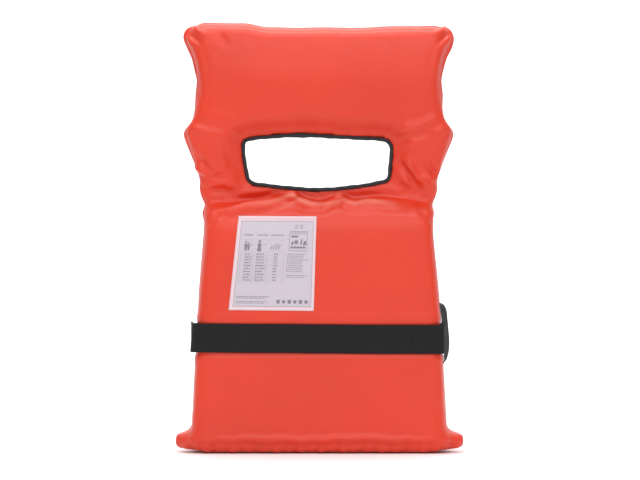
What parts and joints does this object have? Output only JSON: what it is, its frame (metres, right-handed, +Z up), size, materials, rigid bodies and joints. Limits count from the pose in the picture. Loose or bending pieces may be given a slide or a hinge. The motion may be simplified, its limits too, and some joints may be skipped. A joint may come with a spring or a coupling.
{
  "type": "life jacket",
  "caption": "Foam-filled pull-over life jacket with a chest pad, an oval head opening, a padded collar and a waist belt with a side-release buckle.",
  "frame": {"origin": "middle of the flat lower edge that the jacket stands on, centred over its width and its depth", "axes": "+Z up from the lower edge to the collar, +X to the right seen from the side worn against the body, -Y out of the side worn against the body, +Y out of the front with the buckle"},
  "size_m": [0.399, 0.1062, 0.598],
  "materials": {
    "orange_fabric": "satin coated nylon",
    "foam": "closed-cell foam",
    "binding_tape": "grosgrain tape",
    "label_cloth": "coated cloth",
    "reflective_tape": "retro-reflective tape",
    "black_webbing": "ribbed webbing",
    "black_elastic": "woven elastic",
    "black_plastic": "moulded acetal",
    "yellow_plastic": "moulded"
  },
  "bodies": {
    "chest": {"chest_cover_back": "orange_fabric", "chest_cover_front": "orange_fabric", "chest_foam_back": "foam", "chest_foam_middle": "foam", "chest_foam_left": "foam", "chest_foam_right": "foam", "instruction_label": "label_cloth", "reflective_patch_left": "reflective_tape", "reflective_patch_right": "reflective_tape", "belt": "black_webbing", "belt_loop_side": "black_webbing", "belt_loop_front": "black_webbing", "buckle_socket": "black_plastic", "whistle_sleeve": "black_elastic"},
    "collar": {"yoke_cover_back": "orange_fabric", "yoke_cover_front": "orange_fabric", "shoulder_foam_left": "foam", "shoulder_foam_right": "foam", "neck_binding": "binding_tape", "collar_cover_back": "orange_fabric", "collar_cover_front": "orange_fabric", "collar_foam_back": "foam", "collar_foam_front": "foam", "collar_reflective_left": "reflective_tape", "collar_reflective_right": "reflective_tape"},
    "plug": {"buckle_plug": "black_plastic", "belt_tail": "black_webbing"},
    "prong_top": {"prong_upper": "black_plastic"},
    "prong_bottom": {"prong_lower": "black_plastic"},
    "keeper": {"tail_keeper": "black_elastic"},
    "whistle": {"whistle": "yellow_plastic"}
  },
  "joints": [
    {"name": "neck_fold", "type": "hinge", "parent": "chest", "child": "collar", "pos_m": [0, -0.01385, 0.3515], "axis": [1, 0, 0], "range_deg": [-20, 90]},
    {"name": "plug_slide", "type": "slide", "parent": "chest", "child": "plug", "axis": [1, 0, 0], "range_m": [0, 0.04], "deforming": ["prong_upper", "prong_lower"]},
    {"name": "prong_top_flex", "type": "hinge", "parent": "plug", "child": "prong_top", "pos_m": [0.0036, 0.04715, 0.173], "axis": [0, 1, 0], "range_deg": [-9, 0], "stiffness_Nm_per_rad": 0.6},
    {"name": "prong_bottom_flex", "type": "hinge", "parent": "plug", "child": "prong_bottom", "pos_m": [0.0036, 0.04715, 0.143], "axis": [0, 1, 0], "range_deg": [0, 9], "stiffness_Nm_per_rad": 0.6},
    {"name": "keeper_slide", "type": "slide", "parent": "chest", "child": "keeper", "axis": [1, 0, 0], "range_m": [-0.03, 0.008]},
    {"name": "whistle_slide", "type": "slide", "parent": "chest", "child": "whistle", "axis": [0, 0, 1], "range_m": [0, 0.05]}
  ]
}
